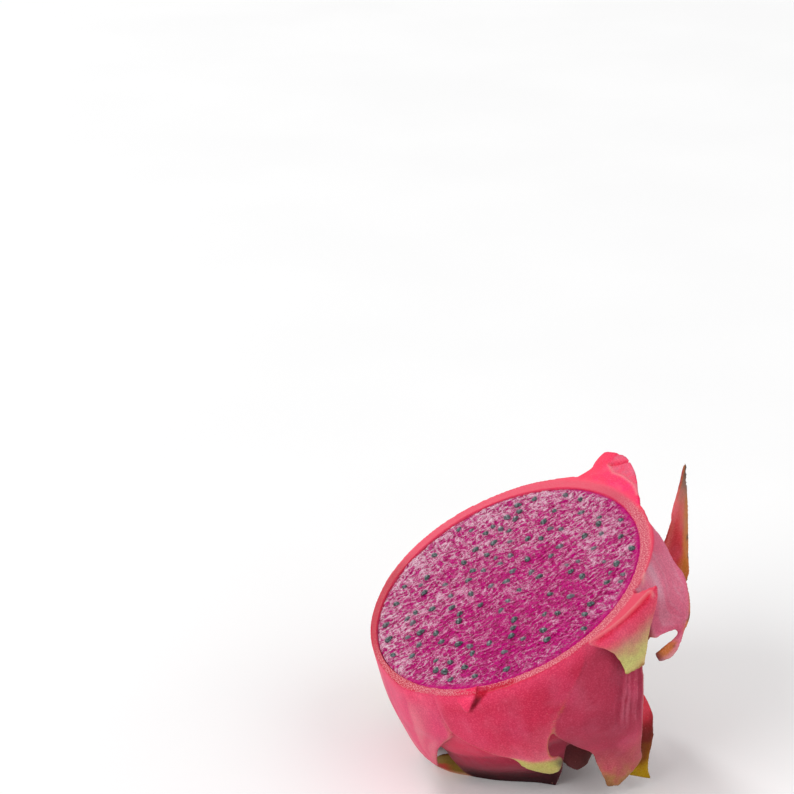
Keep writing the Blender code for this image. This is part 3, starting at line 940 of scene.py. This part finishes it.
def cut_colours(points):
    """The cut ring's colour: coral, red at the left, with a bright outer line and a crimson inner one."""
    angle = place_of(points)[0]
    share = ring_share(points)
    red = window(angle, 135, 205, 18.0) * ease(1.0, 0.75, share)
    coral = mix(plain(points, CUT_CORAL), CUT_TOP, window(angle, 40, 110, 40.0))
    colour = mix(coral, CUT_RED, red)
    line = 0.7 * ease(0.6, 0.9, share) * (1.0 - 0.7 * window(angle, 135, 200, 12.0))
    colour = mix(colour, CUT_LINE, line)
    return mix(colour, CUT_CRIMSON, 0.6 * ease(0.12, 0.0, share) * window(angle, 230, 380, 20.0))


def dotted(points):
    """How thickly pale cells dot the cut ring: most at the front and right, and at the left's outer edge."""
    angle, radius, _ = place_of(points)
    share = ring_share(points)
    front = window(angle, 190, 355, 25.0) * ease(1.0, 0.7, share)
    left = 0.5 * window(angle, 135, 200, 12.0) * ease(0.6, 0.9, share)
    return np.maximum(0.12, np.maximum(front, left)) * (radius < RIM_RADIUS + 0.4)


def cut_face_mask(points, normals):
    angle, radius, height = place_of(points)
    level = line_at(height, 0.5) * ease(0.5, 0.8, normals[:, 2])
    lobe = window(angle, 4, 42, 6.0) * ease(44.6, 47.4, radius)
    return np.clip(level * (1.0 - lobe), 0.0, 1.0)


def relief(points, normals, samples):
    """The rind's small relief along its normals, in millimetres."""
    number, u, v, _ = samples.T
    pleats = 0.12 * pleat_wave(u, v) * (number == LONG)
    groove, ridge = fold_masks(points)
    edge, crease, beyond = lip_masks(points)
    seam, _ = on_skin(points, SEAM)
    skin = 0.24 * (noise(points, 9.0, 11) - 0.5) + 0.08 * (noise(points, 2.6, 12) - 0.5)
    skin = skin * (1.0 - 0.7 * cut_face_mask(points, normals))
    opening, tear = crevice_masks(points)
    sunk = np.maximum(opening, 0.7 * tear) + 0.5 * groove + 0.8 * crease + 0.3 * line_at(seam, 0.5)
    raised = 0.3 * ridge + 0.3 * edge - 0.35 * beyond
    return narrowed(points + normals * (skin + pleats + raised - sunk)[:, None])


def narrowed(points):
    """Draws in the rind's outer side round the left and the back of the rim, where it is thinnest."""
    angle, radius, height = place_of(points)
    share = window(angle, 56, 190, 22.0) * ease(-26.0, -4.0, height)
    wall = body_radius(height)
    share = share * ease(wall - 3.3, wall - 0.9, radius)
    outward = np.stack([np.cos(np.radians(angle)), np.sin(np.radians(angle)), 0.0 * angle], axis=-1)
    return points - outward * (RIM_DRAWN_IN * share)[:, None]


def softened(mesh, colours):
    """Each point's colour blended with its neighbours', so that no border shows the mesh's steps."""
    ends = np.empty(len(mesh.edges) * 2, np.int32)
    mesh.edges.foreach_get("vertices", ends)
    first, second = ends.reshape(-1, 2).T
    count = np.bincount(ends, minlength=len(colours))[:, None]
    for _ in range(PAINT_BLENDS):
        total = np.zeros_like(colours)
        for channel in range(3):
            total[:, channel] += np.bincount(first, colours[second, channel], len(colours))
            total[:, channel] += np.bincount(second, colours[first, channel], len(colours))
        colours = (colours + total / np.maximum(count, 1)) / 2.0
    return colours


def make_rind():
    """The rind with every bract as one skin: joined, cut by the knife, hollowed for the flesh, smoothed."""
    rind = joined("rind", [body_shell()] + [bract_shell(bract)[:2] for bract in CUT_BRACTS + LOW_BRACTS])
    remeshed(rind, JOIN_VOXEL, 6)
    combined(rind, box("knife", (-90, -90, 0), (90, 90, 60)), "DIFFERENCE")
    combined(rind, new_object("hollow", *closed_rings(hollow_rings())), "DIFFERENCE")
    high = joined("high", [bract_shell(bract)[:2] for bract in HIGH_BRACTS])
    bpy.context.view_layer.update()
    both = joined_objects("rind", rind, high)
    remeshed(both, SKIN_VOXEL, 2)
    table = box("table", (-200, -200, -100), (200, 200, 0))
    table.data.transform(fruit_to_world().inverted() @ Matrix.Scale(MM, 4))
    combined(both, table, "DIFFERENCE")
    return both


def joined_objects(name, first, second):
    shells = []
    for obj in (first, second):
        mesh = obj.data
        faces = [list(polygon.vertices) for polygon in mesh.polygons]
        shells.append((mesh_points(mesh), faces))
        bpy.data.objects.remove(obj)
    return joined(name, shells)


def finish_rind(rind, material):
    mesh = rind.data
    points = mesh_points(mesh)
    samples = nearest_values(points)
    points = relief(points, mesh_normals(mesh), samples)
    set_points(mesh, points)
    normals = mesh_normals(mesh)
    paint = softened(mesh, skin_colours(points, normals, samples))
    set_attribute(mesh, "paint", np.column_stack([paint, np.ones(len(paint))]))
    set_attribute(mesh, "cut", cut_face_mask(points, normals))
    set_attribute(mesh, "dotted", dotted(points))
    dress(mesh, points, material)
    return rind


def fibres(points):
    """The flesh's torn fibres, from 0 in a furrow to 1 on a crest, along the face's long way in the view."""
    warp = noise(points, (2.2, 1.6, 5.0), 21) - 0.5
    drift = noise(points, (7.0, 7.0, 5.0), 22) - 0.5
    bent = points + np.stack([0.8 * drift, 1.3 * warp + 2.4 * drift, 0.0 * warp], axis=-1)
    total = np.zeros(len(points))
    for number, (length, width, share) in enumerate(((2.2, 0.95, 0.35), (1.3, 0.6, 0.35), (0.8, 0.42, 0.30))):
        value = noise(bent, (length, width, 5.0), 31 + number)
        total += share * (1.0 - np.abs(2.0 * value - 1.0))
    return total


def disc_grid(side):
    """Places of a square grid pressed into a disc of radius 1, row by row."""
    steps = np.linspace(-1.0, 1.0, side + 1)
    a, b = np.meshgrid(steps, steps)
    wide = np.abs(a) >= np.abs(b)
    reach = np.where(wide, a, b)
    safe = np.where(np.abs(reach) < 1e-9, 1.0, reach)
    turn = np.where(wide, math.pi / 4.0 * b / safe, math.pi / 2.0 - math.pi / 4.0 * a / safe)
    return reach * np.cos(turn), reach * np.sin(turn)


def flesh_top(x, y, seeds):
    """Height of the flesh's face, with its crests, seed beds, roughness, and pale parts: frayed fibres by the
    rim, and painted sheen toward the back and left.
    """
    flat = np.stack([x, y, 0.0 * x], axis=-1)
    crest = fibres(flat)
    reach = np.hypot(x, y)
    rough = ease(FLESH_RADIUS + 0.6, FLESH_RADIUS - 3.0, reach + 1.6 * (noise(flat, 4.0, 43) - 0.5))
    angle = np.degrees(np.arctan2(y, x)) % 360.0
    rough = np.maximum(rough, 0.9 * window(angle, 55, 190, 25.0))
    away = np.full(len(x), 9.0)
    for seed_x, seed_y, _, _ in seeds:
        away = np.minimum(away, np.hypot(x - seed_x, y - seed_y))
    bed = line_at(away, 1.3)
    swell = 0.5 * (noise(flat, 6.0, 41) - 0.5)
    lift = (0.75 * (crest - 0.6) * (1.0 - 0.5 * bed) + swell) * (0.2 + 0.8 * rough) + 0.1 * bed
    edge = 0.3 * ease(FLESH_RADIUS - 1.0, FLESH_RADIUS, reach)
    torn = window(angle, 62, 196, 14.0)
    ragged = reach + 1.6 * (noise(flat, 1.1, 44) - 0.5)
    frayed = 0.75 * torn * ease(FLESH_RADIUS - 3.2, FLESH_RADIUS - 0.6, ragged)
    # Painted sheen: the flesh paler toward the back and the left, and away from the front.
    frayed += 0.3 * window(angle, 30, 215, 30.0) * ease(10.0, FLESH_RADIUS, reach)
    frayed += 0.45 * ease(16.0, 44.0, np.hypot(x + 2.0, y + 20.0))
    return lift - edge - FLESH_DIP, crest, bed, rough, np.clip(frayed, 0.0, 1.0)


def make_flesh(material, seeds):
    """The flesh: a fine relief of fibres on the cut face, pressed round each seed, on a plain body below."""
    side = FLESH_SIDE
    x, y = disc_grid(side)
    x, y = x.ravel() * FLESH_RADIUS, y.ravel() * FLESH_RADIUS
    height, crest, bed, rough, frayed = flesh_top(x, y, seeds)
    top = np.stack([x, y, height], axis=-1)
    index = np.arange(len(top)).reshape(side + 1, side + 1)
    border = np.concatenate([index[0, :-1], index[:-1, -1], index[-1, :0:-1], index[:0:-1, 0]])
    turns = np.arctan2(y[border], x[border])
    heights = np.concatenate([np.arange(-1.0, 2.0 - FLESH_DEPTH, -4.0), [-FLESH_DEPTH + 0.05]])
    radii = spheroid(heights, FLESH_RADIUS - 0.02, FLESH_DEPTH)[:, None]
    below = np.stack(np.broadcast_arrays(
        DRIFT * heights[:, None] + radii * np.cos(turns), radii * np.sin(turns), heights[:, None]), axis=-1)
    rings = len(top) + np.arange(below.shape[0] * len(border)).reshape(below.shape[0], -1)
    rings = np.concatenate([border[None], rings])
    after = np.roll(rings, -1, axis=1)
    sides = np.stack([rings[:-1], rings[1:], after[1:], after[:-1]], axis=-1).reshape(-1, 4)
    points = np.concatenate([top, below.reshape(-1, 3), [[-DRIFT * FLESH_DEPTH, 0.0, -FLESH_DEPTH]]])
    foot = np.stack([rings[-1], np.full(len(border), len(points) - 1), after[-1]], axis=-1)
    faces = grid_faces(side + 1, side + 1).tolist() + sides.tolist() + foot.tolist()
    flesh = new_object("pulp", points, faces)
    rest = len(points) - len(top)
    kept = (("crest", crest, 0.0), ("bed", bed, 0.0), ("rough", rough, 1.0), ("frayed", frayed, 0.0))
    for name, values, on_sides in kept:
        set_attribute(flesh.data, name, np.concatenate([values, np.full(rest, on_sides)]))
    dress(flesh.data, points, material)
    return flesh


def seed_shell(x, y, turn, size, sink):
    """One seed: an egg drawn out at one end."""
    rings, sides = 9, 14
    polar = np.linspace(0.12, math.pi - 0.12, rings)[:, None]
    around = np.linspace(0.0, math.tau, sides, endpoint=False)[None, :]
    taper = 1.0 - 0.28 * np.cos(polar)
    long = SEED_LENGTH / 2.0 * size * np.cos(polar) + 0.0 * around
    wide = SEED_WIDTH / 2.0 * size * np.sin(polar) * taper * np.cos(around)
    tall = SEED_HEIGHT / 2.0 * size * np.sin(polar) * taper * np.sin(around)
    px = x + long * math.cos(turn) - wide * math.sin(turn)
    py = y + long * math.sin(turn) + wide * math.cos(turn)
    return closed_rings(np.stack([px, py, tall - sink], axis=-1))


def make_seeds(material, seeds):
    source = random.Random(SINK_RANDOM)
    shells = []
    covered = []
    for seed in seeds:
        sink = 0.12 + 0.34 * source.random() ** 2
        shells.append(seed_shell(*seed, sink))
        covered.append(np.full(len(shells[-1][0]), sink))
    obj = joined("seeds", shells)
    set_attribute(obj.data, "covered", np.concatenate(covered))
    dress(obj.data, mesh_points(obj.data), material)
    return obj


class Nodes:
    """A material's node tree, with short ways to add and join its nodes."""

    def __init__(self, name):
        self.material = bpy.data.materials.new(name)
        self.material.use_nodes = True
        self.tree = self.material.node_tree
        self.shader = self.tree.nodes["Principled BSDF"]

    def add(self, kind, **settings):
        node = self.tree.nodes.new(kind)
        for name, value in settings.items():
            setattr(node, name, value)
        return node

    def put(self, socket, value):
        if isinstance(value, bpy.types.NodeSocket):
            self.tree.links.new(value, socket)
        else:
            socket.default_value = value

    def attribute(self, name, output="Fac"):
        return self.add("ShaderNodeAttribute", attribute_name=name).outputs[output]

    def wire(self, node, **inputs):
        for name, value in inputs.items():
            self.put(node.inputs[name.replace("_", " ")], value)
        return node

    def stretched(self, scale, rotation=(0.0, 0.0, 0.0)):
        node = self.add("ShaderNodeMapping")
        self.wire(node, Vector=self.attribute("fruit", "Vector"), Scale=scale, Rotation=rotation)
        return node.outputs["Vector"]

    def noise(self, vector, scale, detail=3.0, roughness=0.55):
        node = self.add("ShaderNodeTexNoise")
        return self.wire(node, Vector=vector, Scale=scale, Detail=detail, Roughness=roughness).outputs["Fac"]

    def ramp(self, value, low, high, out_low=0.0, out_high=1.0):
        node = self.add("ShaderNodeMapRange", interpolation_type="SMOOTHSTEP")
        self.wire(node, Value=value, From_Min=low, From_Max=high, To_Min=out_low, To_Max=out_high)
        return node.outputs["Result"]

    def math(self, operation, *values):
        node = self.add("ShaderNodeMath", operation=operation)
        for socket, value in zip(node.inputs, values):
            self.put(socket, value)
        return node.outputs[0]

    def ridge(self, value):
        """1 where a noise passes its middle and less to both sides, as thin winding lines."""
        away = self.math("ABSOLUTE", self.math("MULTIPLY_ADD", value, 2.0, -1.0))
        return self.math("SUBTRACT", 1.0, away)

    def mix(self, share, first, second, blend="MIX"):
        node = self.add("ShaderNodeMix", data_type="RGBA", blend_type=blend)
        return self.wire(node, Factor=share, A=colour_of(first), B=colour_of(second)).outputs["Result"]

    def bump(self, height, strength, distance):
        node = self.add("ShaderNodeBump")
        return self.wire(node, Height=height, Strength=strength, Distance=distance).outputs["Normal"]

    def shade(self, **values):
        self.wire(self.shader, **values)
        return self.material


def colour_of(value):
    return (*value, 1.0) if isinstance(value, tuple) else value


def skin_material():
    nodes = Nodes("rind")
    place_in = nodes.attribute("fruit", "Vector")
    grain = nodes.noise(place_in, 2.2, 4.0, 0.65)
    cloudy = nodes.noise(place_in, 0.16, 3.0, 0.5)
    dots = nodes.noise(place_in, 0.8, 1.0, 0.4)
    paint = nodes.attribute("paint", "Color")
    shade = nodes.mix(nodes.ramp(grain, 0.32, 0.68), (0.78, 0.70, 0.76), (1.0, 1.0, 1.0))
    skin = nodes.mix(1.0, paint, shade, "MULTIPLY")
    red = nodes.add("ShaderNodeSeparateColor")
    nodes.wire(red, Color=paint)
    blush = nodes.mix(1.0, red.outputs["Red"], (1.0, 0.27, 0.41), "MULTIPLY")
    pale = nodes.mix(1.0, paint, blush, "LIGHTEN")
    skin = nodes.mix(nodes.ramp(grain, 0.5, 0.72, 0.0, 0.28), skin, pale)
    skin = nodes.mix(nodes.ramp(cloudy, 0.45, 0.75, 0.0, 0.16), skin, pale)
    skin = nodes.mix(nodes.ramp(dots, 0.79, 0.84, 0.0, 0.4), skin, tone(230, 160, 140))
    speckle = nodes.noise(place_in, 2.5, 1.0, 0.5)
    cells = nodes.math("MULTIPLY", nodes.ramp(speckle, 0.44, 0.64, 0.0, 0.8), nodes.attribute("dotted"))
    ring = nodes.mix(cells, paint, CUT_SPECKLE)
    cut = nodes.attribute("cut")
    colour = nodes.mix(cut, skin, ring)
    rough = nodes.math("ADD", nodes.ramp(grain, 0.3, 0.7, 0.40, 0.54), nodes.math("MULTIPLY", cut, -0.12))
    height = nodes.math("ADD", grain, nodes.math("MULTIPLY", cut, speckle))
    normal = nodes.bump(height, 0.35, 0.00012)
    return nodes.shade(
        Base_Color=colour,
        Roughness=rough,
        Normal=normal,
        Specular_IOR_Level=0.07,
        Subsurface_Weight=0.10,
        Subsurface_Radius=(1.0, 0.2, 0.25),
        Subsurface_Scale=0.002,
    )


def flesh_material():
    nodes = Nodes("pulp")
    crest = nodes.attribute("crest")
    fine = nodes.noise(nodes.stretched((0.9, 2.2, 1.0)), 1.0, 4.0, 0.6)
    cells = nodes.noise(nodes.stretched((1.5, 2.9, 1.0)), 1.0, 2.0, 0.5)
    patch = nodes.noise(nodes.stretched((0.05, 0.08, 0.1)), 1.0, 2.0, 0.5)
    rough = nodes.attribute("rough")
    frayed = nodes.attribute("frayed")
    base = nodes.mix(nodes.ramp(fine, 0.35, 0.6), FLESH_DEEP, FLESH)
    strand = nodes.ridge(nodes.noise(nodes.stretched((1.35, 3.6, 1.0), (0.0, 0.0, 0.12)), 1.0, 2.0, 0.5))
    lit = nodes.math("ADD", nodes.math("MULTIPLY", crest, 0.42), nodes.math("MULTIPLY", strand, 0.58))
    lit = nodes.math("ADD", lit, nodes.ramp(patch, 0.35, 0.7, -0.035, 0.025))
    lit = nodes.math("ADD", lit, nodes.math("MULTIPLY", frayed, 0.07))
    # Pale fibres on the crests: partly whitish fibres, partly painted glints.
    fibre_and_glint = nodes.math("MULTIPLY", nodes.ramp(lit, 0.785, 0.92), nodes.ramp(rough, 0.1, 0.9, 0.25, 1.0))
    # Frayed fibres, and painted sheen, in paler pink.
    pale = nodes.mix(frayed, FLESH_PALE, FLESH_FRAYED_AND_SHEEN)
    colour = nodes.mix(nodes.math("MULTIPLY", fibre_and_glint, 0.75), base, pale)
    colour = nodes.mix(nodes.ramp(rough, 0.8, 0.1, 0.0, 0.6), colour, FLESH_RIM)
    colour = nodes.mix(nodes.math("MULTIPLY", nodes.attribute("bed"), 0.5), colour, FLESH_DEEP)
    normal = nodes.bump(nodes.math("ADD", fine, nodes.math("MULTIPLY", strand, 0.5)), 0.6, 0.00025)
    return nodes.shade(
        Base_Color=colour,
        Roughness=nodes.ramp(cells, 0.3, 0.7, 0.20, 0.34),
        Normal=normal,
        Specular_IOR_Level=nodes.ramp(fibre_and_glint, 0.1, 0.9, 0.06, 0.5),
    )


def seed_material():
    nodes = Nodes("seed")
    spots = nodes.noise(nodes.attribute("fruit", "Vector"), 1.6, 3.0, 0.6)
    film = nodes.ramp(nodes.attribute("covered"), 0.15, 0.45, 0.0, 0.5)
    shell = nodes.mix(nodes.ramp(spots, 0.42, 0.6), SEED, SEED_GREY)
    colour = nodes.mix(film, shell, tone(110, 84, 104))
    return nodes.shade(
        Base_Color=colour,
        Roughness=nodes.ramp(spots, 0.3, 0.7, 0.28, 0.42),
        Normal=nodes.bump(spots, 0.3, 0.00015),
        Coat_Weight=0.4,
        Coat_Roughness=0.15,
    )


def floor_material():
    nodes = Nodes("floor")
    where = nodes.add("ShaderNodeTexCoord").outputs["Object"]
    cloud = nodes.noise(where, 6.0, 2.0, 0.5)
    return nodes.shade(
        Base_Color=nodes.mix(nodes.ramp(cloud, 0.3, 0.7), (0.96, 0.96, 0.96), (0.98, 0.98, 0.98)),
        Roughness=0.6,
    )


def sun(name, toward, strength, softness):
    """A sun that stands in the direction toward, with its softness as an angle in degrees."""
    light = bpy.data.lights.new(name, "SUN")
    light.energy = strength
    light.angle = math.radians(softness)
    obj = linked(bpy.data.objects.new(name, light))
    obj.rotation_euler = Vector(toward).to_track_quat("Z", "Y").to_euler()


def make_studio():
    floor = new_object("floor", [(-6, -6, 0), (6, -6, 0), (6, 12, 0), (-6, 12, 0)], [[0, 1, 2, 3]])
    floor.location.z = -0.0001
    floor.data.materials.append(floor_material())
    world = bpy.data.worlds.new("studio")
    world.use_nodes = True
    background = world.node_tree.nodes["Background"]
    background.inputs["Color"].default_value = (1.0, 1.0, 1.0, 1.0)
    background.inputs["Strength"].default_value = WORLD_LIGHT
    bpy.context.scene.world = world
    sun("key", (-0.71, -0.47, 0.52), KEY_LIGHT, 40.0)
    sun("back", (-0.43, 0.70, 0.56), BACK_LIGHT, 16.0)
    sun("fill", (0.72, -0.31, 0.62), FILL_LIGHT, 60.0)
    bpy.context.scene.view_settings.view_transform = "Standard"


def make_camera():
    """Where the photograph was taken from: looking down 22 degrees."""
    camera = linked(bpy.data.objects.new("camera", bpy.data.cameras.new("camera")))
    camera.data.lens = LENS
    camera.data.sensor_width = SENSOR_WIDTH
    camera.location = (Vector(FACE_CENTRE) + Vector(CAMERA_OFFSET)) * MM
    camera.rotation_euler = Euler((CAMERA_TILT, 0.0, 0.0))
    bpy.context.scene.camera = camera


def main():
    make_camera()
    make_studio()
    seeds = seed_places()
    rind = finish_rind(make_rind(), skin_material())
    pulp = make_flesh(flesh_material(), seeds)
    dots = make_seeds(seed_material(), seeds)
    for piece in (rind, pulp, dots):
        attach(piece, "root")
    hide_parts("peel")
    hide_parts("flesh")


main()
